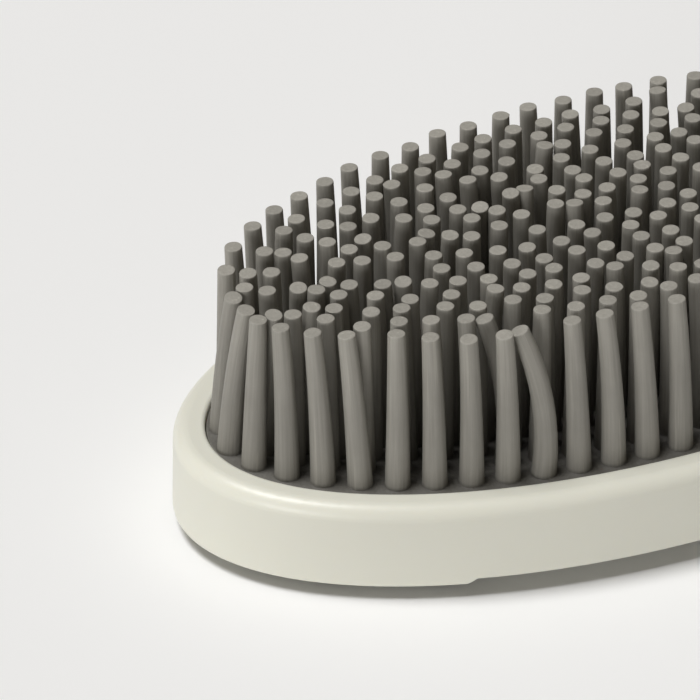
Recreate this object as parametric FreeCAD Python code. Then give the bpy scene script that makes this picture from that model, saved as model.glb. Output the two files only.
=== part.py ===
"""Palm-held rubber curry brush: an oval tray, a moulded bristle mat and a two-part hand strap.

The brush lies on its back. +X is its long axis, +Y its short axis and +Z points along the
bristles. Heights below are measured from the tray's lower edge, and every piece is lifted at
the end by FOOT_PROUD, so that the origin is on the plane that the four feet stand on.
"""
import FreeCAD, Part

import math
import os

from FreeCAD import Vector

# Tray
HALF_LENGTH = 60.0
HALF_WIDTH = 29.5
TRAY_HEIGHT = 11.3
WALL = 2.2
RIM_WIDTH = 4.0
RIM_OUTER_FILLET = 1.9
RIM_INNER_FILLET = 0.5
LOWER_EDGE_FILLET = 0.45
DECK_THICKNESS = 2.0
DECK_TOP = 8.95
DECK_BOTTOM = DECK_TOP - DECK_THICKNESS

# Relief along the middle of both long walls
RELIEF_HEIGHT = 0.9
RELIEF_HALF_LENGTH = 33.0
RELIEF_RAMP = 1.3

# Bristle mat
MAT_GAP = 0.1
MAT_THICKNESS = 1.85
MAT_TOP = DECK_TOP + MAT_THICKNESS
BRISTLE_TOP = 32.0
BRISTLE_ROOT_RADIUS = 1.38
OUTER_ROOT_RADIUS = 1.6
BRISTLE_TIP_RADIUS = 1.08
BRISTLE_SINK = 0.4
FIELD_HALF_WIDTH = 28.9
OUTER_RING_INSET = 5.9
INNER_RINGS_INSET = 9.1
INNER_RING_COUNT = 7
RING_PITCH = (FIELD_HALF_WIDTH - INNER_RINGS_INSET) / INNER_RING_COUNT
OUTER_RING_SPACING = 4.5
INNER_RING_SPACING = 4.25
CLOSEST_ROOTS = 2.8
RING_SAMPLES = 1200

# Studs that hold the mat in the deck
STUD_RADIUS = 1.45
STUD_HOLE_RADIUS = 1.5
STUD_HEAD_RADIUS = 2.2
STUD_TIP_RADIUS = 1.1
STUD_HEAD_HEIGHT = 1.4
STUD_HEAD_GAP = 0.05
STUD_NECK_OVERLAP = 0.2
STUD_ROOT_SINK = 0.5
STUD_PLACES = [(0.0, 21.0), (0.0, -21.0), (52.7, 0.0), (-52.7, 0.0)]
STUD_PLACES += [(sx * 20.0, sy * 19.6) for sx in (-1, 1) for sy in (-1, 1)]

# Back plate and its strap channel
PLATE_GAP = 0.2
PLATE_OUTER_Z = 1.1
PLATE_THICKNESS = 1.6
CHANNEL_HALF_WIDTH = 13.6
CHANNEL_HALF_LENGTH = 48.5
CHANNEL_CEILING = 5.0
CHANNEL_WALL = 1.4
POCKET_START = 40.0
POCKET_CEILING = 5.85
CEILING_THICKNESS = 1.0

# Strap bars
BAR_X = 44.0
BAR_Z = 3.4
BAR_RADIUS = 1.0
BAR_HALF_LENGTH = 15.8
BAR_END_CHAMFER = 0.25
SADDLE_HALF_LENGTH = 2.8
SADDLE_TOP = 5.4
SADDLE_WALL = 2.0
SADDLE_CLEARANCE = 0.04
SLOT_OVERRUN = 0.01
KEEPER_HALF_WIDTH = 0.9
KEEPER_WALL_GAP = 0.3
KEEPER_TOP = DECK_TOP - 0.5

# Hand strap: webbing halves and their touch-fastening patches
STRAP_HALF_WIDTH = 12.8
WEB_THICKNESS = 1.2
EYE_CLEARANCE = 0.05
OUTER_WEB_Z = 1.15
PATCH_THICKNESS = 0.6
PATCH_GAP = 0.1
PATCH_HALF_WIDTH = 11.4
INNER_WEB_Z = OUTER_WEB_Z + WEB_THICKNESS + 2 * PATCH_THICKNESS + PATCH_GAP
INNER_TIP_X = -0.6
OUTER_TIP_X = -37.5
FOLD_LENGTH = 13.0
STRAP_CORNER = 4.0
PILE_PATCH = (-28.0, -2.2)
HOOK_PATCH = (-28.0, 6.0)

# Screws, bosses and feet
SCREW_X = 33.0
SCREW_Y = 18.7
BOSS_RADIUS = 3.0
BOSS_BOTTOM = 4.7
PILOT_RADIUS = 1.2
PILOT_TOP = 8.3
WELL_RADIUS = 2.8
WELL_WALL = 1.0
WELL_FLOOR = 3.5
SCREW_SHANK_RADIUS = 1.15
SCREW_HOLE_RADIUS = 1.5
SCREW_HEAD_RADIUS = 2.3
SCREW_HEAD_HEIGHT = 1.5
SCREW_HEAD_FILLET = 0.5
SCREW_TIP_CHAMFER = 0.4
SHANK_OVERLAP = 0.1
SCREW_LENGTH = 4.6
RECESS_WIDTH = 0.7
RECESS_SPAN = 2.5
RECESS_DEPTH = 0.8
FOOT_RADIUS = 2.75
FOOT_PROUD = 1.8
FOOT_TOP = 1.7
FOOT_FILLET = 0.5

# How far cutters run past the faces that they open
OVERRUN = 1.0

# Tolerances for finding edges and for the last step along a line
FLAT = 0.05
STEP_TOLERANCE = 1e-9

Y = Vector(0, 1, 0)
Z = Vector(0, 0, 1)
SCREW_PLACES = [(sx * SCREW_X, sy * SCREW_Y) for sx in (-1, 1) for sy in (-1, 1)]


def outline(inset, height):
    """The tray's elliptic outline with both half axes shortened by inset, as a closed wire."""
    centre = Vector(0, 0, height)
    ellipse = Part.Ellipse(centre, HALF_LENGTH - inset, HALF_WIDTH - inset)
    return Part.Wire([ellipse.toShape()])


def slab(inset, low, high):
    """A flat oval body between two heights, its edge inset from the tray's outline."""
    return Part.Face(outline(inset, low)).extrude(Vector(0, 0, high - low))


def box(x_low, x_high, y_low, y_high, z_low, z_high):
    """A block between two corners."""
    corner = Vector(x_low, y_low, z_low)
    return Part.makeBox(x_high - x_low, y_high - y_low, z_high - z_low, corner)


def rod(radius, x, y, low, high):
    """An upright cylinder."""
    return Part.makeCylinder(radius, high - low, Vector(x, y, low), Z)


def edges_at(shape, height, test):
    """Edges that lie in the plane z = height and whose bounding box passes the test."""
    found = []
    for edge in shape.Edges:
        bounds = edge.BoundBox
        if abs(bounds.ZMin - height) < FLAT and abs(bounds.ZMax - height) < FLAT:
            if test(bounds):
                found.append(edge)
    return found


def is_outer(bounds):
    """True for an edge that runs round the whole tray at its outer wall."""
    return bounds.XLength > 2 * HALF_LENGTH - RIM_WIDTH


def is_recess(bounds):
    """True for an edge that runs round the whole mat recess."""
    return abs(bounds.XLength - 2 * (HALF_LENGTH - RIM_WIDTH)) < RIM_INNER_FILLET


def relief_cutter():
    """The shallow trapezoid that lifts the lower edge along the middle of both long walls."""
    inner = RELIEF_HALF_LENGTH
    outer = RELIEF_HALF_LENGTH + RELIEF_RAMP
    low = -LOWER_EDGE_FILLET
    corners = [(-outer, low), (-outer, 0.0), (-inner, RELIEF_HEIGHT)]
    corners += [(inner, RELIEF_HEIGHT), (outer, 0.0), (outer, low)]
    points = [Vector(x, -HALF_LENGTH, z) for x, z in corners]
    profile = Part.Face(Part.makePolygon(points + points[:1]))
    return profile.extrude(Vector(0, 2 * HALF_LENGTH, 0))


def rim_shell():
    """Outer wall, rim and deck, with bosses for the screws and keepers for the strap bars."""
    body = slab(0.0, 0.0, TRAY_HEIGHT)
    body = body.makeFillet(RIM_OUTER_FILLET, edges_at(body, TRAY_HEIGHT, is_outer))
    body = body.makeFillet(LOWER_EDGE_FILLET, edges_at(body, 0.0, is_outer))
    body = body.cut(slab(WALL, -OVERRUN, DECK_BOTTOM))
    body = body.cut(slab(RIM_WIDTH, DECK_TOP, TRAY_HEIGHT + OVERRUN))
    body = body.makeFillet(RIM_INNER_FILLET, edges_at(body, TRAY_HEIGHT, is_recess))
    body = body.cut(relief_cutter())
    additions = [rod(BOSS_RADIUS, x, y, BOSS_BOTTOM, DECK_TOP) for x, y in SCREW_PLACES]
    additions += bar_keepers()
    body = body.fuse(additions)
    holes = [rod(PILOT_RADIUS, x, y, BOSS_BOTTOM - OVERRUN, PILOT_TOP) for x, y in SCREW_PLACES]
    holes += [rod(STUD_HOLE_RADIUS, x, y, 0, DECK_TOP + OVERRUN) for x, y in STUD_PLACES]
    return body.cut(holes).removeSplitter()


def bar_keepers():
    """Short ribs under the deck that close the saddles over the strap bars' ends."""
    low = BAR_Z + BAR_RADIUS + SADDLE_CLEARANCE
    ribs = []
    for sx in (-1, 1):
        for sy in (-1, 1):
            y_inner = sy * (CHANNEL_HALF_WIDTH + KEEPER_WALL_GAP)
            y_outer = sy * BAR_HALF_LENGTH
            x_low = sx * BAR_X - KEEPER_HALF_WIDTH
            x_high = sx * BAR_X + KEEPER_HALF_WIDTH
            y_low = min(y_inner, y_outer)
            y_high = max(y_inner, y_outer)
            ribs.append(box(x_low, x_high, y_low, y_high, low, KEEPER_TOP))
    return ribs


def half_ring(inset):
    """Upper half of the line parallel to the field's oval at an inset, from +X to -X.

    The field's oval is a little slimmer than the tray's. Deep inside the oval such a line
    crosses itself on the long axis. The half ring starts and ends at that crossing, so the
    inner rings are pointed there.
    """
    narrowing = (inset * HALF_LENGTH / FIELD_HALF_WIDTH) ** 2 - FIELD_HALF_WIDTH**2
    crossing = math.sqrt(max(0.0, narrowing) / (HALF_LENGTH**2 - FIELD_HALF_WIDTH**2))
    start = math.asin(crossing)
    points = []
    for i in range(RING_SAMPLES + 1):
        angle = start + (math.pi - 2 * start) * i / RING_SAMPLES
        along = math.cos(angle)
        across = math.sin(angle)
        normal = math.hypot(FIELD_HALF_WIDTH * along, HALF_LENGTH * across)
        x = HALF_LENGTH * along - inset * FIELD_HALF_WIDTH * along / normal
        y = FIELD_HALF_WIDTH * across - inset * HALF_LENGTH * across / normal
        points.append((x, max(0.0, y)))
    return points


def spread(points, spacing, phase):
    """Places at even steps along a line of points, starting part of a step from its end."""
    lengths = [0.0]
    for start, end in zip(points, points[1:]):
        lengths.append(lengths[-1] + math.dist(start, end))
    step = lengths[-1] / round(lengths[-1] / spacing)
    places = []
    target = phase * step
    for i, (start, end) in enumerate(zip(points, points[1:])):
        while target <= lengths[i + 1] + STEP_TOLERANCE:
            share = (target - lengths[i]) / (lengths[i + 1] - lengths[i])
            x = start[0] + share * (end[0] - start[0])
            y = start[1] + share * (end[1] - start[1])
            places.append((x, y))
            target += step
    return places


def both_sides(line, spacing, phase):
    """Places along a half ring and their mirror images below the long axis."""
    upper = spread(line, spacing, phase)
    return [(x, side * y) for x, y in upper for side in (1, -1)]


def uncrowded(wanted, placed):
    """The wanted places that keep their distance from those already placed and each other.

    A place that would crowd an earlier one is left out, which thins the rings' pointed ends.
    """
    kept = []
    for place in wanted:
        if all(math.dist(place, other) >= CLOSEST_ROOTS for other in placed + kept):
            kept.append(place)
    return kept


def outer_places():
    """Roots of the outermost ring, which has stouter bristles."""
    return uncrowded(both_sides(half_ring(OUTER_RING_INSET), OUTER_RING_SPACING, 0.0), [])


def inner_places():
    """Roots of the inner rings from the edge inwards, then of the row on the long axis."""
    wanted = []
    for number in range(INNER_RING_COUNT):
        line = half_ring(INNER_RINGS_INSET + number * RING_PITCH)
        phase = 0.5 if number % 2 == 0 else 0.0
        wanted += both_sides(line, INNER_RING_SPACING, phase)
    reach = HALF_LENGTH - INNER_RINGS_INSET
    wanted += spread([(-reach, 0.0), (reach, 0.0)], INNER_RING_SPACING, 0.5)
    return uncrowded(wanted, outer_places())


def bristle(place, root_radius):
    """One straight tapered bristle with a flat tip, rooted a little inside the mat."""
    base = MAT_TOP - BRISTLE_SINK
    at = Vector(place[0], place[1], base)
    return Part.makeCone(root_radius, BRISTLE_TIP_RADIUS, BRISTLE_TOP - base, at, Z)


def bristle_mat():
    """One moulding: plate, rings of bristles and mushroom studs that snap into the deck."""
    plate = slab(RIM_WIDTH + MAT_GAP, DECK_TOP, MAT_TOP)
    additions = [bristle(place, OUTER_ROOT_RADIUS) for place in outer_places()]
    additions += [bristle(place, BRISTLE_ROOT_RADIUS) for place in inner_places()]
    for x, y in STUD_PLACES:
        neck_low = DECK_BOTTOM - STUD_NECK_OVERLAP
        additions.append(rod(STUD_RADIUS, x, y, neck_low, DECK_TOP + STUD_ROOT_SINK))
        tip = Vector(x, y, DECK_BOTTOM - STUD_HEAD_GAP - STUD_HEAD_HEIGHT)
        head = Part.makeCone(STUD_TIP_RADIUS, STUD_HEAD_RADIUS, STUD_HEAD_HEIGHT, tip, Z)
        additions.append(head)
    return plate.fuse(additions)


def saddle(sx, sy):
    """A block beside the channel with an upward U slot that cradles one end of a bar."""
    y_inner = sy * CHANNEL_HALF_WIDTH
    y_outer = sy * (BAR_HALF_LENGTH + SADDLE_WALL)
    y_low = min(y_inner, y_outer)
    y_high = max(y_inner, y_outer)
    x_low = sx * BAR_X - SADDLE_HALF_LENGTH
    x_high = sx * BAR_X + SADDLE_HALF_LENGTH
    return box(x_low, x_high, y_low, y_high, PLATE_OUTER_Z, SADDLE_TOP)


def saddle_slot(sx):
    """The U slot that one bar drops into from above, across saddles, walls and ceiling."""
    radius = BAR_RADIUS + SADDLE_CLEARANCE
    length = 2 * BAR_HALF_LENGTH + 2 * SADDLE_CLEARANCE
    start = Vector(sx * BAR_X, -length / 2, BAR_Z)
    round_part = Part.makeCylinder(radius, length, start, Y)
    x_low = sx * BAR_X - radius
    x_high = sx * BAR_X + radius
    top = POCKET_CEILING + CEILING_THICKNESS + SLOT_OVERRUN
    straight = box(x_low, x_high, -length / 2, length / 2, BAR_Z, top)
    return round_part.fuse(straight)


def back_plate():
    """The cover of the tray's underside, with the strap channel, saddles and foot wells."""
    wide = CHANNEL_HALF_WIDTH + CHANNEL_WALL
    long = CHANNEL_HALF_LENGTH + CHANNEL_WALL
    pocket = POCKET_START - CHANNEL_WALL
    plate = slab(WALL + PLATE_GAP, PLATE_OUTER_Z, PLATE_OUTER_Z + PLATE_THICKNESS)
    ceiling_top = CHANNEL_CEILING + CEILING_THICKNESS
    pocket_top = POCKET_CEILING + CEILING_THICKNESS
    additions = [box(-long, long, -wide, wide, PLATE_OUTER_Z, ceiling_top)]
    for sx in (-1, 1):
        x_low = min(sx * pocket, sx * long)
        x_high = max(sx * pocket, sx * long)
        additions.append(box(x_low, x_high, -wide, wide, PLATE_OUTER_Z, pocket_top))
        additions += [saddle(sx, -1), saddle(sx, 1)]
    well = WELL_RADIUS + WELL_WALL
    additions += [rod(well, x, y, PLATE_OUTER_Z, BOSS_BOTTOM) for x, y in SCREW_PLACES]
    plate = plate.fuse(additions)
    plate = plate.common(slab(WALL + PLATE_GAP, PLATE_OUTER_Z, DECK_BOTTOM))
    width = CHANNEL_HALF_WIDTH
    half = CHANNEL_HALF_LENGTH
    cutters = [box(-half, half, -width, width, 0, CHANNEL_CEILING)]
    for sx in (-1, 1):
        x_low = min(sx * POCKET_START, sx * half)
        x_high = max(sx * POCKET_START, sx * half)
        cutters.append(box(x_low, x_high, -width, width, 0, POCKET_CEILING))
        cutters.append(saddle_slot(sx))
    for x, y in SCREW_PLACES:
        cutters.append(rod(WELL_RADIUS, x, y, 0, WELL_FLOOR))
        cutters.append(rod(SCREW_HOLE_RADIUS, x, y, 0, BOSS_BOTTOM + OVERRUN))
    return plate.cut(cutters).removeSplitter()


def strap_bar(sx):
    """A steel rod across the channel, chamfered at both ends."""
    start = Vector(sx * BAR_X, -BAR_HALF_LENGTH, BAR_Z)
    bar = Part.makeCylinder(BAR_RADIUS, 2 * BAR_HALF_LENGTH, start, Y)
    rims = [edge for edge in bar.Edges if edge.BoundBox.YLength < FLAT]
    return bar.makeChamfer(BAR_END_CHAMFER, rims)


def strap_half(sx, low, tip, fold_low):
    """Webbing that loops round one bar, is doubled and sewn for a short way, then runs flat.

    sx is the side of the bar, low the underside of the single layer, tip the x of the free
    end and fold_low the underside of the doubled stretch.
    """
    eye_radius = BAR_RADIUS + EYE_CLEARANCE + WEB_THICKNESS
    centre_x = sx * BAR_X
    width = STRAP_HALF_WIDTH
    axis_start = Vector(centre_x, -width, BAR_Z)
    eye = Part.makeCylinder(eye_radius, 2 * width, axis_start, Y)
    flat = box(min(centre_x, tip), max(centre_x, tip), -width, width, low, low + WEB_THICKNESS)
    corners = []
    for edge in flat.Edges:
        bounds = edge.BoundBox
        at_tip = abs(bounds.XMin - tip) < FLAT and abs(bounds.XMax - tip) < FLAT
        if at_tip and bounds.ZLength > WEB_THICKNESS / 2:
            corners.append(edge)
    flat = flat.makeFillet(STRAP_CORNER, corners)
    fold_end = centre_x - sx * FOLD_LENGTH
    fold_high = fold_low + 2 * WEB_THICKNESS
    x_low = min(centre_x, fold_end)
    x_high = max(centre_x, fold_end)
    fold = box(x_low, x_high, -width, width, fold_low, fold_high)
    hole = Part.makeCylinder(BAR_RADIUS + EYE_CLEARANCE, 2 * width, axis_start, Y)
    return eye.fuse([flat, fold]).cut(hole).removeSplitter()


def strap_inner():
    """The half on the -X bar, which lies deepest in the channel."""
    return strap_half(-1, INNER_WEB_Z, INNER_TIP_X, INNER_WEB_Z - WEB_THICKNESS)


def strap_outer():
    """The half on the +X bar, which lies over the inner half and closes the channel."""
    return strap_half(1, OUTER_WEB_Z, OUTER_TIP_X, OUTER_WEB_Z)


def patch(span, low):
    """A flat touch-fastening patch with rounded corners, sewn to a strap half."""
    width = PATCH_HALF_WIDTH
    body = box(span[0], span[1], -width, width, low, low + PATCH_THICKNESS)
    upright = [edge for edge in body.Edges if edge.BoundBox.ZLength > PATCH_THICKNESS / 2]
    return body.makeFillet(STRAP_CORNER / 2, upright)


def pile_patch():
    """The soft patch on the inner half's outward face."""
    return patch(PILE_PATCH, INNER_WEB_Z - PATCH_THICKNESS)


def hook_patch():
    """The hooked patch on the outer half's inward face."""
    return patch(HOOK_PATCH, OUTER_WEB_Z + WEB_THICKNESS)


def screw(x, y):
    """A thread-forming pan-head screw with a cross recess, pointing up into its boss."""
    head_low = WELL_FLOOR - SCREW_HEAD_HEIGHT
    head = rod(SCREW_HEAD_RADIUS, x, y, head_low, WELL_FLOOR)
    head = head.makeFillet(SCREW_HEAD_FILLET, edges_at(head, head_low, lambda bounds: True))
    end = WELL_FLOOR + SCREW_LENGTH
    shank = rod(SCREW_SHANK_RADIUS, x, y, WELL_FLOOR - SHANK_OVERLAP, end)
    shank = shank.makeChamfer(SCREW_TIP_CHAMFER, edges_at(shank, end, lambda bounds: True))
    half = RECESS_SPAN / 2
    thin = RECESS_WIDTH / 2
    top = head_low + RECESS_DEPTH
    recess = box(x - half, x + half, y - thin, y + thin, head_low - OVERRUN, top)
    recess = recess.fuse(box(x - thin, x + thin, y - half, y + half, head_low - OVERRUN, top))
    return head.fuse(shank).cut(recess)


def foot(x, y):
    """A soft round plug pressed into its well, standing slightly proud of the tray."""
    plug = rod(FOOT_RADIUS, x, y, -FOOT_PROUD, FOOT_TOP)
    return plug.makeFillet(FOOT_FILLET, edges_at(plug, -FOOT_PROUD, lambda bounds: True))


def save(name, shape):
    """Lift a piece on to the feet's rest plane, check it and write it as one STEP file."""
    shape = shape.copy()
    shape.translate(Vector(0, 0, FOOT_PROUD))
    if not shape.isValid():
        raise RuntimeError(name + " is not a valid shape")
    shape.exportStep("parts/" + name + ".step")
    print(name, "solids", len(shape.Solids), "faces", len(shape.Faces), "mm3", round(shape.Volume, 1))


os.makedirs("parts", exist_ok=True)
save("rim_shell", rim_shell())
save("bristle_mat", bristle_mat())
save("back_plate", back_plate())
save("strap_bar_left", strap_bar(-1))
save("strap_bar_right", strap_bar(1))
save("strap_inner", strap_inner())
save("strap_outer", strap_outer())
save("pile_patch", pile_patch())
save("hook_patch", hook_patch())
save("back_screws", Part.makeCompound([screw(x, y) for x, y in SCREW_PLACES]))
save("foot_plugs", Part.makeCompound([foot(x, y) for x, y in SCREW_PLACES]))
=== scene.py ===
"""Looks of the palm-held rubber curry brush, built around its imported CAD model.

Lengths in this script are in millimetres until a mesh is made, where MM turns them into metres.
The brush lies on its back: +X is its long axis and +Z points along the bristles.
"""
import math

import bpy
import numpy as np
from mathutils import Matrix, Vector
from mathutils.geometry import delaunay_2d_cdt


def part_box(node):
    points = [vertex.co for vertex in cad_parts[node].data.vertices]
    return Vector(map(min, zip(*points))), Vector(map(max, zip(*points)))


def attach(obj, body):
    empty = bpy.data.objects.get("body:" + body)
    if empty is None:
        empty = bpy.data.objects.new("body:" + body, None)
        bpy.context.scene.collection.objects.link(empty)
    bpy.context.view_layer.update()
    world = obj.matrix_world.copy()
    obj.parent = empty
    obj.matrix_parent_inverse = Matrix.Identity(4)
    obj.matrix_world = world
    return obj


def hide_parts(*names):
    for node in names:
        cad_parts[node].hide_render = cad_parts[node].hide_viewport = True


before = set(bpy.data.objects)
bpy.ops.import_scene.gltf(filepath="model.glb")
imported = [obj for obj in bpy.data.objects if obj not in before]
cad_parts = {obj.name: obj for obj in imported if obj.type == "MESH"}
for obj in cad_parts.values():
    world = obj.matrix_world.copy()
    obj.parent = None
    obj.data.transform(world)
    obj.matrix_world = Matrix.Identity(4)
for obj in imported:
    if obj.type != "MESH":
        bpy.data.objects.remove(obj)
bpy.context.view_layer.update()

MM = 0.001
RANDOM = np.random.default_rng(7)


def corners(node):
    """Lowest and highest corner of a CAD node in millimetres."""
    low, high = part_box(node)
    return np.array(low) / MM, np.array(high) / MM


TRAY_LOW, TRAY_HIGH = corners("rim_shell")
MAT_HIGH = corners("bristle_mat")[1]

# Bristle field, as in the CAD model
HALF_LENGTH = 60.0
HALF_WIDTH = 28.9
RIM_ABOVE_MAT = 0.5
MAT_TOP = float(TRAY_HIGH[2]) - RIM_ABOVE_MAT
MAT_THICKNESS = 1.85
TILT_ROOM = 0.06
BRISTLE_TOP = float(MAT_HIGH[2]) - TILT_ROOM
ROOT_RADIUS = 1.34
OUTER_ROOT_RADIUS = 1.56
TIP_RADIUS = 1.08
ROOT_FLARE = 0.06
# Scale of the rubber's colour: below 0 is painted shade on the mat and at the roots, where the
# bristles shade each other, above 0 near the top of the shaft is painted light, and 1 is a worn tip
MAT_PAINTED_SHADE = -2.4
SHAFT_SHARES = (0.0, 0.01, 0.03, 0.5, 0.95)
SHAFT_SHADE_AND_LIGHT = (-2.4, -1.4, -0.5, -0.3, 0.5)
TIP_WEAR = 1.0
OUTER_RING_INSET = 5.9
INNER_RINGS_INSET = 9.1
INNER_RING_COUNT = 7
RING_PITCH = (HALF_WIDTH - INNER_RINGS_INSET) / INNER_RING_COUNT
OUTER_RING_SPACING = 4.5
INNER_RING_SPACING = 4.25
CLOSEST_ROOTS = 2.8
RING_SAMPLES = 1200
SEGMENTS = 20
TOLERANCE = 1e-6

# Rings of points up one bristle: three in the flare, SHAFT_RINGS up the shaft, four at the tip.
# Shares of the flare and narrowings of the radius go with the heights and depths beside them.
FLARE_HEIGHTS = (0.0, 0.08, 0.22)
FLARE_SHARES = (1.0, 0.45, 0.12)
SHAFT_START = 0.5
SHAFT_END = 0.22
SHAFT_RINGS = 9
TIP_DEPTHS = (0.09, 0.02, 0.0, 0.015)
TIP_NARROWINGS = (0.01, 0.04, 0.12, 0.38)
LEAST_RISE = 0.2
BURR_SHARE = 0.25
BURR_SIZE = 0.09
BURR_WIDTH = 0.3
TEXTURE_SHIFT = 500

# Rounding of the mat's upper edge: insets from the tray's recess and depths below the mat's top
MAT_EDGE_POINTS = 180
MAT_EDGE_INSET = 0.14
MAT_EDGE_STEPS = ((0.09, 0.04), (0.06, 0.15), (0.06, MAT_THICKNESS))

# Studs through the tray's deck, as in the CAD model
DECK_THICKNESS = 2.0
STUD_PLACES = [(0.0, 21.0), (0.0, -21.0), (52.7, 0.0), (-52.7, 0.0)]
STUD_PLACES += [(sx * 20.0, sy * 19.6) for sx in (-1, 1) for sy in (-1, 1)]
STUD_NECK_RADIUS = 1.45
STUD_HEAD_GAP = 0.05
# Radius and depth below the head's top, from the neck outwards and down to the tip
STUD_HEAD = [(2.1, 0.0), (2.2, 0.1), (1.15, 1.35), (1.05, 1.4), (0.0, 1.4)]


# ---------------------------------------------------------------- meshes

def mesh_object(name, verts, faces, smooth=True):
    """A mesh object from points in millimetres and lists of corner numbers."""
    mesh = bpy.data.meshes.new(name)
    mesh.from_pydata((np.asarray(verts) * MM).tolist(), [], faces)
    mesh.validate()
    for polygon in mesh.polygons:
        polygon.use_smooth = smooth
    piece = bpy.data.objects.new(name, mesh)
    bpy.context.scene.collection.objects.link(piece)
    return piece


def add_attribute(piece, name, kind, values):
    """Store one value or vector per vertex, for the materials to read."""
    attribute = piece.data.attributes.new(name, kind, "POINT")
    field = "vector" if kind == "FLOAT_VECTOR" else "value"
    attribute.data.foreach_set(field, np.asarray(values, np.float32).ravel())


# ---------------------------------------------------------------- bristle layout

def half_ring(inset):
    """Upper half of the line parallel to the outline at an inset, from +X to -X."""
    narrowing = (inset * HALF_LENGTH / HALF_WIDTH) ** 2 - HALF_WIDTH**2
    crossing = math.sqrt(max(0.0, narrowing) / (HALF_LENGTH**2 - HALF_WIDTH**2))
    start = math.asin(crossing)
    angle = np.linspace(start, math.pi - start, RING_SAMPLES + 1)
    along = np.cos(angle)
    across = np.sin(angle)
    normal = np.hypot(HALF_WIDTH * along, HALF_LENGTH * across)
    x = HALF_LENGTH * along - inset * HALF_WIDTH * along / normal
    y = HALF_WIDTH * across - inset * HALF_LENGTH * across / normal
    return np.stack([x, np.maximum(y, 0.0)], axis=-1)


def spread(line, spacing, phase):
    """Places at even steps along a line of points, starting part of a step from its end."""
    steps = np.hypot(*np.diff(line, axis=0).T)
    lengths = np.concatenate([[0.0], np.cumsum(steps)])
    count = round(lengths[-1] / spacing)
    targets = (np.arange(count + 1) + phase) * lengths[-1] / count
    targets = targets[targets <= lengths[-1] + TOLERANCE]
    x = np.interp(targets, lengths, line[:, 0])
    y = np.interp(targets, lengths, line[:, 1])
    return list(zip(x, y))


def both_sides(line, spacing, phase):
    """Places along a half ring and their mirror images below the long axis."""
    return [(x, side * y) for x, y in spread(line, spacing, phase) for side in (1, -1)]


def uncrowded(wanted, placed):
    """The wanted places that keep their distance from those already placed and each other."""
    kept = []
    for place in wanted:
        if all(math.dist(place, other) >= CLOSEST_ROOTS for other in placed + kept):
            kept.append(place)
    return kept


def bristle_places():
    """Roots of the stouter outer ring, and roots of the inner rings and the long axis."""
    outer = uncrowded(both_sides(half_ring(OUTER_RING_INSET), OUTER_RING_SPACING, 0.0), [])
    wanted = []
    for number in range(INNER_RING_COUNT):
        line = half_ring(INNER_RINGS_INSET + number * RING_PITCH)
        phase = 0.5 if number % 2 == 0 else 0.0
        wanted += both_sides(line, INNER_RING_SPACING, phase)
    reach = HALF_LENGTH - INNER_RINGS_INSET
    wanted += spread(np.array([(-reach, 0.0), (reach, 0.0)]), INNER_RING_SPACING, 0.5)
    return outer, uncrowded(wanted, outer)


# ---------------------------------------------------------------- bristle shape

# Along the front edge the tips lean to -X and inwards in a slow wave, and round the -X end they
# spread outwards. Bristles are counted along that edge, and leans are millimetres at the tip.
FRONT_FIRST = -2
FRONT_LAST = 14
FRONT_LEAN = (-1.3, 0.6)
WAVE_LEAN = 0.8
WAVE_LENGTH = 8.0
WAVE_CREST = 11.5
END_LEAN = (2.2, -3.0)
END_NUMBERS = (0.3, -1.0)
END_SPREAD = 1.5

# Two bristles are bent right over: one of the front edge and one in the ring behind it
BENT_NUMBER = 9
BENT_ROOT = (-25.0, -17.0)
BENT_LEAN = (-3.4, 1.5)
BENT_CURVE = 1.4

LEAN_SPREAD = 0.4
OUTER_STEADINESS = 0.6
CURVE_RANGE = (0.15, 0.7)
OUTWARD_LEAN = 0.5
STRAY_SHARE = 0.06
STRAY_LEAN = 2.0
FIELD_LEAN = np.array([-0.6, 0.3])
TIP_SPACING = 2.24
PUSHES = 60


def part_tips(tips):
    """Tips moved sideways until no two of them touch."""
    for _ in range(PUSHES):
        gap = tips[:, None] - tips[None]
        distance = np.linalg.norm(gap, axis=2)
        np.fill_diagonal(distance, np.inf)
        push = np.maximum(0.0, TIP_SPACING - distance) / (2 * distance)
        tips = tips + (gap * push[..., None]).sum(1)
    return tips


def front_lean(number):
    """Tip offset of one bristle along the front edge."""
    wave = WAVE_LEAN * math.cos(2 * math.pi * (number - WAVE_CREST) / WAVE_LENGTH)
    end_x, end_y = (
        lean * math.exp(-(((number - at) / END_SPREAD) ** 2))
        for lean, at in zip(END_LEAN, END_NUMBERS)
    )
    return np.array((FRONT_LEAN[0] + end_x, FRONT_LEAN[1] + wave + end_y))


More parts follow.
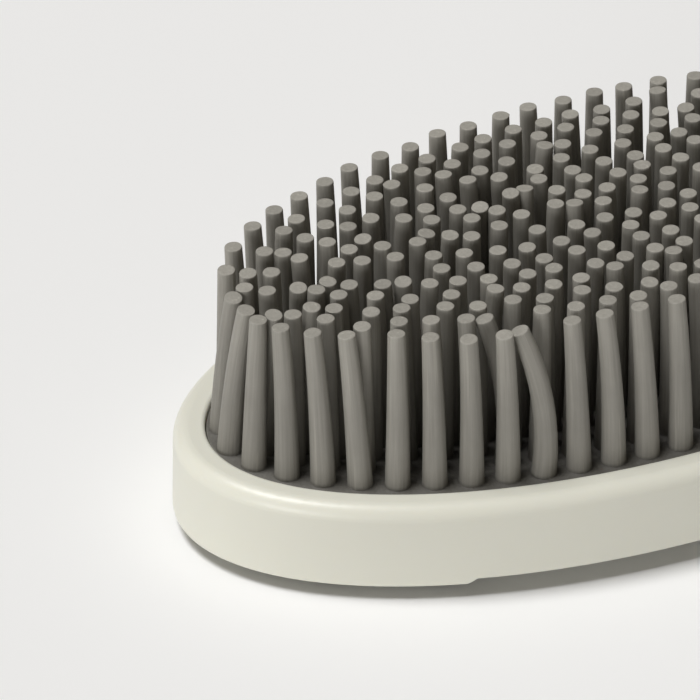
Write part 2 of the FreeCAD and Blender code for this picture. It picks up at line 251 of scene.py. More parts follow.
def leans(outer, inner):
    """Tip offset of every bristle, and how curved it is: 0 is straight, 1 bends evenly."""
    places = np.array(outer + inner)
    lean = RANDOM.normal(0.0, LEAN_SPREAD, places.shape)
    stray = RANDOM.random(len(places)) < STRAY_SHARE
    direction = RANDOM.uniform(0.0, 2 * math.pi, len(places))
    lean[stray] += STRAY_LEAN * np.stack([np.cos(direction), np.sin(direction)], -1)[stray]
    curve = RANDOM.uniform(*CURVE_RANGE, len(places))
    outward = places / np.array([HALF_LENGTH**2, HALF_WIDTH**2])
    outward /= np.linalg.norm(outward, axis=1)[:, None] + TOLERANCE**2
    lean[: len(outer)] *= OUTER_STEADINESS
    scatter = lean.copy()
    lean[: len(outer)] += OUTWARD_LEAN * outward[: len(outer)]
    lean += FIELD_LEAN
    front = sorted((i for i in range(len(outer)) if outer[i][1] < 0), key=lambda i: outer[i][0])
    back = sorted((i for i in range(len(outer)) if outer[i][1] >= 0), key=lambda i: outer[i][0])
    along_edge = back[-FRONT_FIRST::-1] + front
    for number, i in zip(range(FRONT_FIRST, FRONT_LAST + 1), along_edge):
        lean[i] = scatter[i] + front_lean(number)
    behind = np.argmin(np.linalg.norm(places - np.array(BENT_ROOT), axis=1))
    for i in (along_edge[BENT_NUMBER - FRONT_FIRST], behind):
        lean[i] = BENT_LEAN
        curve[i] = BENT_CURVE
    lean = part_tips(places + lean) - places
    return places, lean, curve


def bristle_rings(place, lean, curve, root_radius, burr_angle, burr_size):
    """Rings of points up one bent bristle, and the same rings on a straight one.

    The root flares into the mat, the shaft tapers evenly, and the tip is a shallow dish with a
    slightly round edge. A burr is a scrap of moulding flash on one side of the tip.
    """
    length = BRISTLE_TOP - MAT_TOP
    shaft = np.linspace(SHAFT_START, length - SHAFT_END, SHAFT_RINGS)
    along = np.concatenate([FLARE_HEIGHTS, shaft, length - np.array(TIP_DEPTHS)])
    taper = root_radius + (TIP_RADIUS - root_radius) * along / length
    taper[: len(FLARE_SHARES)] += ROOT_FLARE * np.array(FLARE_SHARES)
    taper[-len(TIP_NARROWINGS) :] -= np.array(TIP_NARROWINGS)
    share = along / length
    bend = (1 - curve) * share + curve * share**2
    slope = ((1 - curve) + 2 * curve * share) / length
    reach = math.hypot(*lean)
    rise = np.sqrt(np.maximum(LEAST_RISE, 1 - (reach * slope) ** 2))
    height = np.concatenate([[0.0], np.cumsum(np.diff(along) * (rise[1:] + rise[:-1]) / 2)])
    angle = np.arange(SEGMENTS) * 2 * math.pi / SEGMENTS
    circle = np.stack([np.cos(angle), np.sin(angle)], -1)
    off_burr = (angle - burr_angle + math.pi) % (2 * math.pi) - math.pi
    burr = burr_size * np.exp(-((off_burr / BURR_WIDTH) ** 2))
    rings = []
    straight = []
    for i in range(len(along)):
        centre = np.array([place[0] + lean[0] * bend[i], place[1] + lean[1] * bend[i]])
        at_edge = i in (len(along) - 3, len(along) - 2)
        flat = circle * (taper[i] + burr * at_edge)[:, None]
        tilt = 0.0 if i == 0 else slope[i]
        drop = -(flat @ lean) * tilt
        ring = np.column_stack([flat + centre, MAT_TOP + height[i] + drop])
        rings.append(ring)
        straight.append(np.column_stack([flat, np.full(SEGMENTS, along[i])]))
    return rings, straight


def mat_outline(inset):
    """Points round the mat's edge, just inside the rim."""
    angle = np.arange(MAT_EDGE_POINTS) * 2 * math.pi / MAT_EDGE_POINTS
    x = (float(MAT_HIGH[0]) - inset) * np.cos(angle)
    y = (float(MAT_HIGH[1]) - inset) * np.sin(angle)
    return np.stack([x, y], -1)


def plate_faces(outline, places, radii):
    """Triangles of the mat's top face, which leave a round hole under every bristle."""
    points = [Vector(p) for p in outline]
    edges = [(i, (i + 1) % len(outline)) for i in range(len(outline))]
    angle = np.arange(SEGMENTS) * 2 * math.pi / SEGMENTS
    for (x, y), radius in zip(places, radii):
        first = len(points)
        points += [Vector((x + radius * math.cos(a), y + radius * math.sin(a))) for a in angle]
        edges += [(first + i, first + (i + 1) % SEGMENTS) for i in range(SEGMENTS)]
    out = delaunay_2d_cdt(points, edges, [], 1, TOLERANCE)
    verts = np.array([(v.x, v.y) for v in out[0]])
    if len(verts) != len(points):
        raise RuntimeError("the mat's roots touch")
    faces = []
    for face in out[2]:
        centre = verts[list(face)].mean(0)
        nearest = np.argmin(np.hypot(*(places - centre).T))
        if np.hypot(*(places[nearest] - centre)) > radii[nearest] - ROOT_FLARE / 2:
            faces.append(list(face))
    order = [out[3][i][0] for i in range(len(verts))]
    return verts, faces, order


def bristle_mat():
    """The mat and all its bristles as one closed skin."""
    outer, inner = bristle_places()
    places, lean, curve = leans(outer, inner)
    count = len(places)
    root = np.where(np.arange(count) < len(outer), OUTER_ROOT_RADIUS, ROOT_RADIUS)
    outline = mat_outline(MAT_EDGE_INSET)
    flat, faces, order = plate_faces(outline, places, root + ROOT_FLARE)
    place_of = {number: i for i, number in enumerate(order)}
    verts = [np.column_stack([flat, np.full(len(flat), MAT_TOP)])]
    local = [np.column_stack([flat, np.zeros(len(flat))])]
    tone = [np.zeros(len(flat))]
    # The mat's colour is darkened here as painted shade between the bristles
    wear = [np.full(len(flat), MAT_PAINTED_SHADE)]
    total = len(flat)
    for number in range(count):
        burr_size = BURR_SIZE * (RANDOM.random() < BURR_SHARE)
        burr_angle = RANDOM.uniform(0.0, 2 * math.pi)
        bent = (places[number], lean[number], curve[number], root[number])
        rings, straight = bristle_rings(*bent, burr_angle, burr_size)
        shift = RANDOM.uniform(-TEXTURE_SHIFT, TEXTURE_SHIFT, 3)
        shade = RANDOM.normal(0.0, 1.0)
        first = len(outline) + number * SEGMENTS
        below = [place_of[first + i] for i in range(SEGMENTS)]
        for i in range(1, len(rings)):
            verts.append(rings[i])
            local.append(straight[i] + shift)
            tone.append(np.full(SEGMENTS, shade))
            share = straight[i][0, 2] / (BRISTLE_TOP - MAT_TOP)
            # Painted shade low on each shaft, painted light near its top, and a lighter worn tip
            shade_light_and_wear = TIP_WEAR if i >= len(rings) - 2 else np.interp(share, SHAFT_SHARES, SHAFT_SHADE_AND_LIGHT)
            wear.append(np.full(SEGMENTS, shade_light_and_wear))
            above = list(range(total, total + SEGMENTS))
            for j in range(SEGMENTS):
                k = (j + 1) % SEGMENTS
                faces.append([below[j], below[k], above[k], above[j]])
            below = above
            total += SEGMENTS
        centre = rings[-1].mean(0)
        verts.append(centre[None])
        local.append(straight[-1].mean(0)[None] + shift)
        tone.append(np.array([shade]))
        wear.append(np.array([TIP_WEAR]))
        for i in range(SEGMENTS):
            faces.append([below[i], below[(i + 1) % SEGMENTS], total])
        total += 1
    side = [place_of[i] for i in range(len(outline))]
    for inset, depth in MAT_EDGE_STEPS:
        ring = np.column_stack([mat_outline(inset), np.full(len(outline), MAT_TOP - depth)])
        verts.append(ring)
        local.append(ring)
        tone.append(np.zeros(len(outline)))
        wear.append(np.zeros(len(outline)))
        lower = list(range(total, total + len(outline)))
        for i in range(len(side)):
            j = (i + 1) % len(side)
            faces.append([side[j], side[i], lower[i], lower[j]])
        side = lower
        total += len(outline)
    faces.append(side[::-1])
    piece = mesh_object("bristle_mat_moulding", np.vstack(verts), faces)
    add_attribute(piece, "bristle_local", "FLOAT_VECTOR", np.vstack(local) * MM)
    add_attribute(piece, "bristle_tone", "FLOAT", np.concatenate(tone))
    add_attribute(piece, "bristle_shade_light_and_wear", "FLOAT", np.concatenate(wear))
    verts, faces = mat_studs()
    studs = mesh_object("bristle_mat_studs", verts, faces)
    material = rubber()
    for part in (piece, studs):
        part.data.materials.append(material)
        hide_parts("bristle_mat")
        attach(part, "brush")


def mat_studs():
    """The mushroom studs that hold the mat in the deck, turned from one profile."""
    mat_underside = MAT_TOP - MAT_THICKNESS
    head_top = -DECK_THICKNESS - STUD_HEAD_GAP
    profile = [(0.0, 0.0), (STUD_NECK_RADIUS, 0.0), (STUD_NECK_RADIUS, head_top)]
    profile += [(radius, head_top - depth) for radius, depth in STUD_HEAD]
    verts = []
    faces = []
    for x, y in STUD_PLACES:
        rings = []
        for radius, depth in profile:
            count = SEGMENTS if radius > 0 else 1
            rings.append(range(len(verts), len(verts) + count))
            for i in range(count):
                a = 2 * math.pi * i / SEGMENTS
                at = (x + radius * math.cos(a), y + radius * math.sin(a), mat_underside + depth)
                verts.append(at)
        for upper, lower in zip(rings, rings[1:]):
            for i in range(SEGMENTS):
                j = (i + 1) % SEGMENTS
                if len(upper) == 1:
                    faces.append([upper[0], lower[i], lower[j]])
                elif len(lower) == 1:
                    faces.append([upper[j], upper[i], lower[0]])
                else:
                    faces.append([upper[j], upper[i], lower[i], lower[j]])
    return verts, faces


# ---------------------------------------------------------------- hand strap

WEB_THICKNESS = 1.08
WEB_STEP = 0.33
EDGE_ANGLES = (60, 20, -20, -60)
EDGE_FLATTENING = 0.9
END_FLATTENING = 0.8
# Height of the inner half's long layer above its bar, and from one layer's middle to the next
INNER_HEIGHT = 0.85
LAYER_PITCH = 1.2
# The eye round the bar: its middle line, where it starts and ends, and the bends beside it
EYE_RADIUS = 1.65
EYE_START = math.radians(62)
EYE_END = math.radians(-68)
EYE_POINTS = 40
EYE_LEAVE = 5.0
LAYER_PULL = 1.8
EYE_PULL = 1.4
FOLD_LENGTH = 13.0
STRAP_CORNER = 4.0
YARN_PITCH = 1.15
PICK_PITCH = 1.5
YARN_HEIGHT = 0.16
YARN_MEAN = 0.62
STITCH_PITCH = 2.7
STITCH_LENGTH = 2.0
STITCH_RADIUS = 0.2
STITCH_SINK = 0.06
STITCH_SIDES = 8
# Share of a stitch's length and of its radius
STITCH_PROFILE = [(0.0, 0.35), (0.12, 0.8), (0.3, 1.0), (0.7, 1.0), (0.88, 0.8), (1.0, 0.35)]
SEAM_SIDE_MARGIN = 2.2
SEAM_END_MARGIN = 1.0
SEAM_FROM_BAR = 5.2
PATCH_SEAM_MARGIN = 0.9
PATCH_SEAM_DEPTH = 0.552
PATCH_BASE = 0.26
PATCH_RADIUS = 2.0
CORNER_POINTS = 6
# One hook: how far its middle line leans and rises, and its radius
HOOK = (
    (0.0, 0.0, 0.24),
    (0.0, 0.16, 0.17),
    (0.05, 0.27, 0.14),
    (0.17, 0.3, 0.12),
    (0.25, 0.24, 0.09),
)
HOOK_SIDES = 5
HOOK_PITCH = 1.25
HOOK_MARGIN = 1.5
HOOK_SINK = 0.02
PILE_LOOPS = 1300
PILE_SIDES = 4
PILE_STEPS = 6
PILE_MARGIN = 0.8
PILE_RADIUS = 0.06
PILE_SINK = 0.03
PILE_SPANS = (0.3, 0.75)
PILE_DROPS = (0.16, 0.3)


def bezier(start, start_pull, end_pull, end, count=12):
    """Points on a cubic curve, without its first point."""
    t = np.linspace(0, 1, count + 1)[1:, None]
    p0, p1, p2, p3 = (np.array(p, float) for p in (start, start_pull, end_pull, end))
    return (1 - t) ** 3 * p0 + 3 * (1 - t) ** 2 * t * p1 + 3 * (1 - t) * t**2 * p2 + t**3 * p3


def strap_line(tip, main, fold, turn):
    """The middle line of one strap half, from its free end round the bar to its sewn end.

    Distances run from the bar's axis towards the free end, and heights from that axis. main
    and fold are the heights of the long layer and of the folded one, and turn is -1 for a
    strap that passes below the bar first and 1 for one that passes above it.
    """
    sweep = np.linspace(EYE_START, 2 * math.pi + EYE_END, EYE_POINTS)
    arc = EYE_RADIUS * np.stack([np.cos(sweep), turn * np.sin(sweep)], -1)
    tangent = np.array([math.sin(EYE_START), -turn * math.cos(EYE_START)])
    parts = [np.array([[tip, main], [EYE_LEAVE, main]])]
    pull = (EYE_LEAVE - LAYER_PULL, main)
    parts.append(bezier(parts[0][-1], pull, arc[0] + EYE_PULL * tangent, arc[0]))
    parts.append(arc[1:])
    tangent = np.array([-math.sin(EYE_END), turn * math.cos(EYE_END)])
    pull = (EYE_LEAVE - LAYER_PULL, fold)
    parts.append(bezier(arc[-1], arc[-1] + EYE_PULL * tangent, pull, (EYE_LEAVE, fold)))
    parts.append(np.array([[FOLD_LENGTH, fold]]))
    line = np.vstack(parts)
    lengths = np.concatenate([[0.0], np.cumsum(np.hypot(*np.diff(line, axis=0).T))])
    even = np.linspace(0, lengths[-1], int(lengths[-1] / WEB_STEP))
    return np.stack([np.interp(even, lengths, line[:, i]) for i in range(2)], -1), even


def weave(length, across):
    """Height of the woven face: yarns along the strap, bound by picks at a half step."""
    column = np.floor(across / YARN_PITCH)
    ridge = np.sqrt(np.abs(np.sin(math.pi * across / YARN_PITCH)))
    pick = np.cos(2 * math.pi * (length / PICK_PITCH + 0.5 * (column % 2)))
    return YARN_HEIGHT * (ridge * (YARN_MEAN + (1 - YARN_MEAN) * pick) - 1.0)


def webbing(name, side, bar, line, lengths, half_width, material):
    """A woven strap along its middle line, with rounded edges and a rounded free end."""
    count = len(line)
    forward = np.gradient(line, axis=0)
    forward /= np.linalg.norm(forward, axis=1)[:, None]
    normal = np.stack([-forward[:, 1], forward[:, 0]], -1)
    face = np.linspace(-1, 1, 2 * int(half_width / WEB_STEP) + 1)
    edge = np.radians(EDGE_ANGLES)
    half = WEB_THICKNESS / 2
    rim = half * np.sin(edge) * EDGE_FLATTENING
    verts = []
    local = []
    for i in range(count):
        taken = max(0.0, STRAP_CORNER - lengths[i])
        width = half_width - STRAP_CORNER + math.sqrt(max(0.0, STRAP_CORNER**2 - taken**2))
        flat = width - half
        y_face = face * flat
        lift = half + weave(lengths[i], y_face)
        if i in (0, count - 1):
            lift = lift * END_FLATTENING
        reach = flat + half * np.cos(edge)
        y = np.concatenate([y_face, reach, y_face[::-1], -reach])
        h = np.concatenate([lift, rim, -lift[::-1], -rim])
        u = line[i, 0] + normal[i, 0] * h
        w = line[i, 1] + normal[i, 1] * h
        verts.append(np.column_stack([bar[0] - side * u, y, bar[1] + w]))
        local.append(np.column_stack([np.full(len(y), lengths[i]), y, h]))
    around = len(verts[0])
    faces = []
    for i in range(count - 1):
        for j in range(around):
            k = (j + 1) % around
            quad = [i * around + j, i * around + k, (i + 1) * around + k, (i + 1) * around + j]
            faces.append(quad[::-1] if side > 0 else quad)
    start = list(range(around))
    end = list(range((count - 1) * around, count * around))
    faces.append(start if side > 0 else start[::-1])
    faces.append(end[::-1] if side > 0 else end)
    piece = mesh_object(name, np.vstack(verts), faces)
    add_attribute(piece, "web_local", "FLOAT_VECTOR", np.vstack(local) * MM)
    piece.data.materials.append(material)
    return piece


def capsule_mesh(name, segments, radius, material):
    """Short round-ended threads, one between each pair of points."""
    sides = STITCH_SIDES
    angle = np.arange(sides) * 2 * math.pi / sides
    verts = []
    faces = []
    for start, end in segments:
        start = np.array(start, float)
        end = np.array(end, float)
        along = end - start
        unit = along / np.linalg.norm(along)
        other = np.cross(unit, (0.0, 0.0, 1.0))
        other /= np.linalg.norm(other)
        third = np.cross(unit, other)
        first = len(verts)
        for share, size in STITCH_PROFILE:
            for a in angle:
                offset = radius * size * (math.cos(a) * other + math.sin(a) * third)
                verts.append(start + along * share + offset)
        for i in range(len(STITCH_PROFILE) - 1):
            for j in range(sides):
                k = (j + 1) % sides
                low = first + i * sides
                faces.append([low + k, low + j, low + sides + j, low + sides + k])
        last = first + (len(STITCH_PROFILE) - 1) * sides
        faces.append([first + j for j in range(sides)])
        faces.append([last + j for j in reversed(range(sides))])
    piece = mesh_object(name, verts, faces)
    piece.data.materials.append(material)
    return piece


def stitch_row(start, end, height):
    """Stitches along a straight seam at a height."""
    start = np.array(start, float)
    end = np.array(end, float)
    length = np.linalg.norm(end - start)
    count = max(1, int(length / STITCH_PITCH))
    unit = (end - start) / length
    pitch = length / count
    row = []
    for i in range(count):
        low = start + unit * (i * pitch + (pitch - STITCH_LENGTH) / 2)
        high = low + unit * STITCH_LENGTH
        row.append(((low[0], low[1], height), (high[0], high[1], height)))
    return row


def seam(name, boxes, heights, body, material):
    """Box seams through a strap: each box is (x low, x high, half width, crossed)."""
    segments = []
    for x_low, x_high, half, crossed in boxes:
        at = [(x_low, -half), (x_high, -half), (x_high, half), (x_low, half)]
        for height in heights:
            for i in range(4):
                segments += stitch_row(at[i], at[(i + 1) % 4], height)
            if crossed:
                segments += stitch_row(at[0], at[2], height)
                segments += stitch_row(at[1], at[3], height)
    piece = capsule_mesh(name, segments, STITCH_RADIUS, material)
    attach(piece, body)
    return piece


def patch_outline(node):
    """Rounded outline of a patch, from its CAD node's box."""
    low, high = corners(node)
    radius = PATCH_RADIUS
    points = []
    for cx, cy, turn in (
        (high[0] - radius, high[1] - radius, 0),
        (low[0] + radius, high[1] - radius, 90),
        (low[0] + radius, low[1] + radius, 180),
        (high[0] - radius, low[1] + radius, 270),
    ):
        for i in range(CORNER_POINTS + 1):
            a = math.radians(turn + 90 * i / CORNER_POINTS)
            points.append((cx + radius * math.cos(a), cy + radius * math.sin(a)))
    return points


def patch_base(outline, bottom, top):
    """A thin closed tape between two heights, as vertices and faces."""
    count = len(outline)
    verts = [(x, y, bottom) for x, y in outline] + [(x, y, top) for x, y in outline]
    faces = [list(range(count))[::-1], list(range(count, 2 * count))]
    for i in range(count):
        j = (i + 1) % count
        faces.append([i, j, count + j, count + i])
    return verts, faces


def hook_tape(material):
    """The hooked patch: a tape with rows of small moulded J hooks."""
    low, high = corners("hook_patch")
    outline = patch_outline("hook_patch")
    verts, faces = patch_base(outline, low[2], low[2] + PATCH_BASE)
    sides = HOOK_SIDES
    xs = np.arange(low[0] + HOOK_MARGIN, high[0] - HOOK_MARGIN, HOOK_PITCH)
    ys = np.arange(low[1] + HOOK_MARGIN, high[1] - HOOK_MARGIN, HOOK_PITCH)
    for row, y in enumerate(ys):
        turn = 1 if row % 2 else -1
        for x in xs:
            first = len(verts)
            for dx, dz, size in HOOK:
                for j in range(sides):
                    a = 2 * math.pi * j / sides
                    verts.append((
                        x + turn * dx + size * math.cos(a),
                        y + size * math.sin(a),
                        low[2] + PATCH_BASE + dz - HOOK_SINK,
                    ))
            for i in range(len(HOOK) - 1):
                for j in range(sides):
                    k = (j + 1) % sides
                    at = first + i * sides
                    faces.append([at + j, at + k, at + sides + k, at + sides + j])
            faces.append([first + j for j in reversed(range(sides))])
            last = first + (len(HOOK) - 1) * sides
            faces.append([last + j for j in range(sides)])
    piece = mesh_object("hook_patch_tape", verts, faces)
    piece.data.materials.append(material)
    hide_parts("hook_patch")
    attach(piece, "strap_outer_half")


def pile_tape(material):
    """The soft patch: a tape under a mat of small uneven thread loops."""
    low, high = corners("pile_patch")
    outline = patch_outline("pile_patch")
    verts, faces = patch_base(outline, high[2] - PATCH_BASE, high[2])
    sides = PILE_SIDES
    steps = PILE_STEPS
    xs = RANDOM.uniform(low[0] + PILE_MARGIN, high[0] - PILE_MARGIN, PILE_LOOPS)
    ys = RANDOM.uniform(low[1] + PILE_MARGIN, high[1] - PILE_MARGIN, PILE_LOOPS)
    turns = RANDOM.uniform(0, math.pi, PILE_LOOPS)
    spans = RANDOM.uniform(*PILE_SPANS, PILE_LOOPS)
    drops = RANDOM.uniform(*PILE_DROPS, PILE_LOOPS)
    for x, y, turn, span, drop in zip(xs, ys, turns, spans, drops):
        across = np.array((math.cos(turn), math.sin(turn), 0.0))
        side = np.array((-math.sin(turn), math.cos(turn), 0.0))
        first = len(verts)
        for i in range(steps + 1):
            a = math.pi * i / steps
            centre = np.array((x, y, high[2] - PATCH_BASE + PILE_SINK))
            centre -= across * span * math.cos(a)
            centre[2] -= drop * math.sin(a)
            out = -across * math.cos(a) - np.array((0, 0, math.sin(a)))
            for j in range(sides):
                b = 2 * math.pi * j / sides
                verts.append(tuple(centre + PILE_RADIUS * (math.cos(b) * out + math.sin(b) * side)))
        for i in range(steps):
            for j in range(sides):
                k = (j + 1) % sides
                at = first + i * sides
                faces.append([at + k, at + j, at + sides + j, at + sides + k])
        last = first + steps * sides
        faces.append([first + j for j in range(sides)])
        faces.append([last + j for j in reversed(range(sides))])
    piece = mesh_object("pile_patch_tape", verts, faces)
    piece.data.materials.append(material)
    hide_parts("pile_patch")
    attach(piece, "strap_inner_half")


def strap():
    """Both strap halves with their seams and touch-fastening patches."""
    web = webbing_fabric()
    thread = sewing_thread()
    for node, bar_node, side, turn, body in (
        ("strap_outer", "strap_bar_right", 1, -1, "strap_outer_half"),
        ("strap_inner", "strap_bar_left", -1, 1, "strap_inner_half"),
    ):
        low, high = corners(node)
        bar_low, bar_high = corners(bar_node)
        bar = ((bar_low[0] + bar_high[0]) / 2, (bar_low[2] + bar_high[2]) / 2)
        half_width = float(high[1])
        tip = bar[0] - low[0] if side > 0 else high[0] - bar[0]
        main = -EYE_RADIUS if side > 0 else INNER_HEIGHT
        fold = main + side * LAYER_PITCH
        line, lengths = strap_line(tip, main, fold, turn)
        piece = webbing(node + "_webbing", side, bar, line, lengths, half_width, web)
        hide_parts(node)
        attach(piece, body)
        near = bar[0] - side * SEAM_FROM_BAR
        far = bar[0] - side * (FOLD_LENGTH - SEAM_END_MARGIN)
        box = (min(near, far), max(near, far), half_width - SEAM_SIDE_MARGIN, True)
        middle = bar[1] + (main + fold) / 2
        to_face = LAYER_PITCH - STITCH_SINK
        heights = (middle - to_face, middle + to_face)
        seam(node + "_bar_seam", [box], heights, body, thread)
        patch = "hook_patch" if side > 0 else "pile_patch"
        p_low, p_high = corners(patch)
        margin = PATCH_SEAM_MARGIN
        box = (p_low[0] + margin, p_high[0] - margin, float(p_high[1]) - margin, False)
        free_face = bar[1] + main - side * PATCH_SEAM_DEPTH
        seam(node + "_patch_seam", [box], (free_face,), body, thread)
    hook_tape(patch_fabric("fabric_hook", (0.017, 0.0165, 0.016), 0.45))
    pile_tape(patch_fabric("fabric_pile", (0.03, 0.029, 0.028), 0.9))


# ---------------------------------------------------------------- materials

class Surface:
    """A Principled material and short calls that add nodes to it."""

    def __init__(self, name, roughness=0.5, **numbers):
        self.material = bpy.data.materials.new(name)
        self.material.use_nodes = True
        self.tree = self.material.node_tree
        self.shader = self.tree.nodes["Principled BSDF"]
        self.shader.inputs["Roughness"].default_value = roughness
        for socket, number in numbers.items():
            self.shader.inputs[socket.replace("_", " ")].default_value = number

    def node(self, kind, **settings):
        made = self.tree.nodes.new("ShaderNode" + kind)
        for key, value in settings.items():
            setattr(made, key, value)
        return made

    def link(self, output, target):
        self.tree.links.new(output, target)

    def coordinates(self, stretch=(1, 1, 1), attribute=None):
        """Object coordinates, or a stored vector, scaled per axis."""
        if attribute:
            source = self.node("Attribute", attribute_name=attribute).outputs["Vector"]
        else:
            source = self.node("TexCoord").outputs["Object"]
        mapping = self.node("Mapping")
        mapping.inputs["Scale"].default_value = stretch
        self.link(source, mapping.inputs["Vector"])
        return mapping.outputs["Vector"]

    def noise(self, vector, scale, detail=3.0, roughness=0.5):
        made = self.node("TexNoise")
        made.inputs["Scale"].default_value = scale
        made.inputs["Detail"].default_value = detail
        made.inputs["Roughness"].default_value = roughness
        self.link(vector, made.inputs["Vector"])
        return made.outputs["Fac"]

    def ramp(self, factor, stops):
        made = self.node("ValToRGB")
        elements = made.color_ramp.elements
        while len(elements) < len(stops):
            elements.new(0.5)
        for element, (position, color) in zip(elements, stops):
            element.position = position
            element.color = (*color, 1.0)
        self.link(factor, made.inputs["Fac"])
        return made.outputs["Color"]

    def math(self, operation, first, second):
        made = self.node("Math", operation=operation)
        for socket, value in zip(made.inputs, (first, second)):
            if isinstance(value, (int, float)):
                socket.default_value = value
            else:
                self.link(value, socket)
        return made.outputs["Value"]

    def blend(self, factor, first, second, mode="MIX"):
        made = self.node("Mix", data_type="RGBA", blend_type=mode)
        slots = (made.inputs[0], made.inputs[6], made.inputs[7])
        for socket, value in zip(slots, (factor, first, second)):
            if isinstance(value, (int, float)):
                socket.default_value = value
            elif isinstance(value, tuple):
                socket.default_value = (*value, 1.0)
            else:
                self.link(value, socket)
        return made.outputs[2]

    def color(self, output):
        self.link(output, self.shader.inputs["Base Color"])

    def rough(self, output, low, high):
        span = self.node("MapRange")
        span.inputs["To Min"].default_value = low
        span.inputs["To Max"].default_value = high
        self.link(output, span.inputs["Value"])
        self.link(span.outputs["Result"], self.shader.inputs["Roughness"])

    def bump(self, heights, strength=1.0):
        """Chain bumps; each entry is a height output and its depth in millimetres."""
        normal = None
        for height, depth in heights:
            made = self.node("Bump")
            made.inputs["Strength"].default_value = strength
            made.inputs["Distance"].default_value = depth * MM
            self.link(height, made.inputs["Height"])
            if normal is not None:
                self.link(normal, made.inputs["Normal"])
            normal = made.outputs["Normal"]
        self.link(normal, self.shader.inputs["Normal"])


def rubber():
    """Matt warm-grey rubber with flow lines up each bristle, worn tips, painted shade on the mat and
    at the roots, and painted light high on the shafts.
    """
    s = Surface("rubber_bristle", 0.6, Specular_IOR_Level=0.35)
    local = s.coordinates(attribute="bristle_local")
    lines = s.noise(s.coordinates((1.0, 1.0, 0.025), "bristle_local"), 2600.0, 4.0, 0.6)
    scores = s.noise(s.coordinates((1.0, 1.0, 0.012), "bristle_local"), 1900.0, 1.0)
    mottle = s.noise(local, 260.0, 2.0)
    grain = s.noise(local, 5200.0, 2.0)
    tone = s.node("Attribute", attribute_name="bristle_tone").outputs["Fac"]
    # Painted shade on the mat and at the roots, painted light on the upper shafts, and tip wear
    wear = s.node("Attribute", attribute_name="bristle_shade_light_and_wear").outputs["Fac"]
    base = s.ramp(lines, [(0.28, (0.266, 0.254, 0.224)), (0.72, (0.334, 0.319, 0.284))])
    scored = s.ramp(scores, [(0.66, (1.0, 1.0, 1.0)), (0.71, (1.16, 1.16, 1.15))])
    base = s.blend(1.0, base, scored, "MULTIPLY")
    spots = s.ramp(mottle, [(0.3, (0.93, 0.93, 0.93)), (0.7, (1.0, 1.0, 1.0))])
    base = s.blend(1.0, base, spots, "MULTIPLY")
    shade = s.math("MULTIPLY_ADD", tone, 0.035)
    shade.node.inputs[2].default_value = 1.0
    base = s.blend(1.0, base, shade, "MULTIPLY")
    # Darkens the mat and roots as painted shade, lightens the upper shafts as painted light, and
    # lightens the worn tips
    shade_light_and_wear = s.math("MULTIPLY_ADD", wear, 0.22)
    shade_light_and_wear.node.inputs[2].default_value = 1.0
    s.color(s.blend(1.0, base, shade_light_and_wear, "MULTIPLY"))
    s.rough(grain, 0.5, 0.68)
    s.bump([(lines, 0.06), (scores, 0.05), (grain, 0.012)])
    return s.material


def ivory(name, texture_depth, low, high):
    """Warm ivory moulded plastic; texture_depth sets how grained the face is."""
    s = Surface(name, 0.35, Specular_IOR_Level=0.5, Subsurface_Weight=0.12)
    s.shader.inputs["Subsurface Radius"].default_value = (1.0, 0.85, 0.6)
    s.shader.inputs["Subsurface Scale"].default_value = 1.2 * MM
    place = s.coordinates()
    cloud = s.noise(place, 28.0, 3.0)
    peel = s.noise(place, 700.0, 2.0)
    grain = s.noise(place, 4200.0, 3.0)
    s.color(s.ramp(cloud, [(0.3, (0.764, 0.756, 0.664)), (0.7, (0.792, 0.786, 0.692))]))
    s.rough(s.blend(0.5, peel, grain), low, high)
    s.bump([(peel, 0.012), (grain, texture_depth)])
    return s.material


def steel(name, color, low, high, stretch):
    """Drawn or plated steel with fine marks along one direction."""
    s = Surface(name, 0.3, Metallic=1.0)
    marks = s.noise(s.coordinates(stretch), 900.0, 4.0)
    s.color(s.ramp(marks, [(0.3, tuple(c * 0.85 for c in color)), (0.7, color)]))
    s.rough(marks, low, high)
    s.bump([(marks, 0.01)])
    return s.material


def dark_rubber():
    """Near-black matt rubber of the feet."""
    s = Surface("rubber_foot", 0.7, Specular_IOR_Level=0.3)
    grain = s.noise(s.coordinates(), 3500.0, 3.0)
    s.color(s.ramp(grain, [(0.3, (0.035, 0.034, 0.032)), (0.7, (0.055, 0.053, 0.05))]))
    s.rough(grain, 0.6, 0.85)
    s.bump([(grain, 0.03)])
    return s.material


def webbing_fabric():
    """Warm dark-grey nylon yarn with fine filaments along the strap."""
    s = Surface("fabric_webbing", 0.62, Specular_IOR_Level=0.4, Sheen_Weight=0.25)
    s.shader.inputs["Sheen Roughness"].default_value = 0.4
    local = s.coordinates(attribute="web_local")
    filaments = s.noise(s.coordinates((0.15, 1.0, 1.0), "web_local"), 9000.0, 3.0)
    wear = s.noise(local, 120.0, 3.0)
    base = s.ramp(filaments, [(0.3, (0.030, 0.029, 0.027)), (0.7, (0.062, 0.060, 0.056))])
    faded = s.ramp(wear, [(0.35, (0.85, 0.85, 0.85)), (0.7, (1.15, 1.13, 1.1))])
    s.color(s.blend(1.0, base, faded, "MULTIPLY"))
    s.rough(filaments, 0.5, 0.75)
    s.bump([(filaments, 0.05)])
    return s.material


def sewing_thread():
    """Bonded grey sewing thread with a fine twist."""
    s = Surface("fabric_thread", 0.5, Specular_IOR_Level=0.45, Sheen_Weight=0.15)
    twist = s.noise(s.coordinates((1.0, 1.0, 1.0)), 6000.0, 2.0)
    s.color(s.ramp(twist, [(0.3, (0.20, 0.195, 0.18)), (0.7, (0.30, 0.29, 0.27))]))
    s.rough(twist, 0.4, 0.6)
    s.bump([(twist, 0.05)])
    return s.material


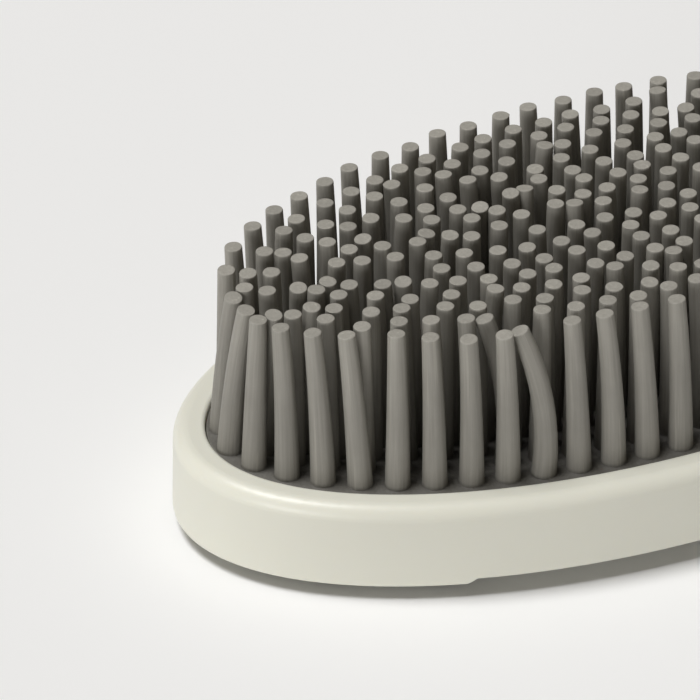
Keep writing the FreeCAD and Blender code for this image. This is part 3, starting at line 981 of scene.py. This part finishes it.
def patch_fabric(name, color, rough_high):
    """Dark tape of the touch fastening."""
    s = Surface(name, 0.6, Specular_IOR_Level=0.35)
    fibre = s.noise(s.coordinates(), 5000.0, 3.0)
    bright = tuple(c * 2.0 for c in color)
    s.color(s.ramp(fibre, [(0.3, color), (0.7, bright)]))
    s.rough(fibre, 0.4, rough_high)
    s.bump([(fibre, 0.05)])
    return s.material


def paint(node, material):
    """Give a CAD node its finished material."""
    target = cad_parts[node]
    if not target.material_slots:
        target.data.materials.append(material)
    for slot in target.material_slots:
        slot.material = material


# ---------------------------------------------------------------- studio

CAMERA_TARGET = (-27.32, 19.71, 5.57)
CAMERA_AZIMUTH = math.radians(-28.31)
CAMERA_ELEVATION = math.radians(33.71)
CAMERA_ROLL = math.radians(1.46)
CAMERA_DISTANCE = 800.0
CAMERA_LENS = 328.8
FLOOR_COLOR = (0.95, 0.95, 0.95)
FLOOR_SPAN = 3000.0
SKY_COLOR = (1.0, 0.91, 0.76, 1.0)
SKY_STRENGTH = 0.1
SENSOR_WIDTH = 36.0
# name, strength, softness in degrees, direction towards the light
SUNS = (
    ("key", 2.37, 24.0, (-0.31, 0.1, 1.0)),
    ("fill", 1.42, 30.0, (-1.0, -0.65, 0.08)),
)


def camera():
    """A long lens from the brush's front left, looking down on the bristles."""
    data = bpy.data.cameras.new("camera")
    data.lens = CAMERA_LENS
    data.sensor_width = SENSOR_WIDTH
    data.clip_end = 20.0
    data.clip_start = 0.05
    eye = bpy.data.objects.new("camera", data)
    bpy.context.scene.collection.objects.link(eye)
    back = Vector((
        math.sin(CAMERA_AZIMUTH) * math.cos(CAMERA_ELEVATION),
        -math.cos(CAMERA_AZIMUTH) * math.cos(CAMERA_ELEVATION),
        math.sin(CAMERA_ELEVATION),
    ))
    target = Vector(CAMERA_TARGET) + Vector((0, 0, float(TRAY_LOW[2])))
    eye.location = (target + back * CAMERA_DISTANCE) * MM
    turn = back.to_track_quat("Z", "Y").to_matrix().to_4x4()
    eye.matrix_world = (
        Matrix.Translation(eye.location) @ turn @ Matrix.Rotation(CAMERA_ROLL, 4, "Z")
    )
    bpy.context.scene.camera = eye


def studio():
    """A pale floor under a faint warm sky, a soft light from high up and a low one from the left."""
    span = FLOOR_SPAN
    verts = [(-span, -span, 0.0), (span, -span, 0.0), (span, span, 0.0), (-span, span, 0.0)]
    floor = mesh_object("floor", verts, [[0, 1, 2, 3]], smooth=False)
    s = Surface("floor_paper", 0.9, Specular_IOR_Level=0.1)
    cloud = s.noise(s.coordinates(), 2.0, 2.0)
    low = tuple(c * 0.995 for c in FLOOR_COLOR)
    s.color(s.ramp(cloud, [(0.3, low), (0.7, FLOOR_COLOR)]))
    floor.data.materials.append(s.material)

    world = bpy.data.worlds.new("sky")
    bpy.context.scene.world = world
    world.use_nodes = True
    background = world.node_tree.nodes["Background"]
    background.inputs["Color"].default_value = SKY_COLOR
    background.inputs["Strength"].default_value = SKY_STRENGTH

    for name, energy, spread_angle, direction in SUNS:
        light = bpy.data.lights.new(name, "SUN")
        light.energy = energy
        light.angle = math.radians(spread_angle)
        lamp = bpy.data.objects.new(name, light)
        lamp.rotation_euler = Vector(direction).to_track_quat("Z", "Y").to_euler()
        bpy.context.scene.collection.objects.link(lamp)
    bpy.context.scene.view_settings.view_transform = "Standard"


# ---------------------------------------------------------------- assembly

bristle_mat()
strap()
paint("rim_shell", ivory("plastic_tray", 0.003, 0.3, 0.42))
paint("back_plate", ivory("plastic_back", 0.03, 0.42, 0.6))
bar_steel = steel("steel_bar", (0.6, 0.6, 0.6), 0.2, 0.4, (1, 0.05, 1))
paint("strap_bar_left", bar_steel)
paint("strap_bar_right", bar_steel)
paint("back_screws", steel("steel_screw", (0.55, 0.55, 0.56), 0.25, 0.45, (1, 1, 1)))
paint("foot_plugs", dark_rubber())
studio()
camera()
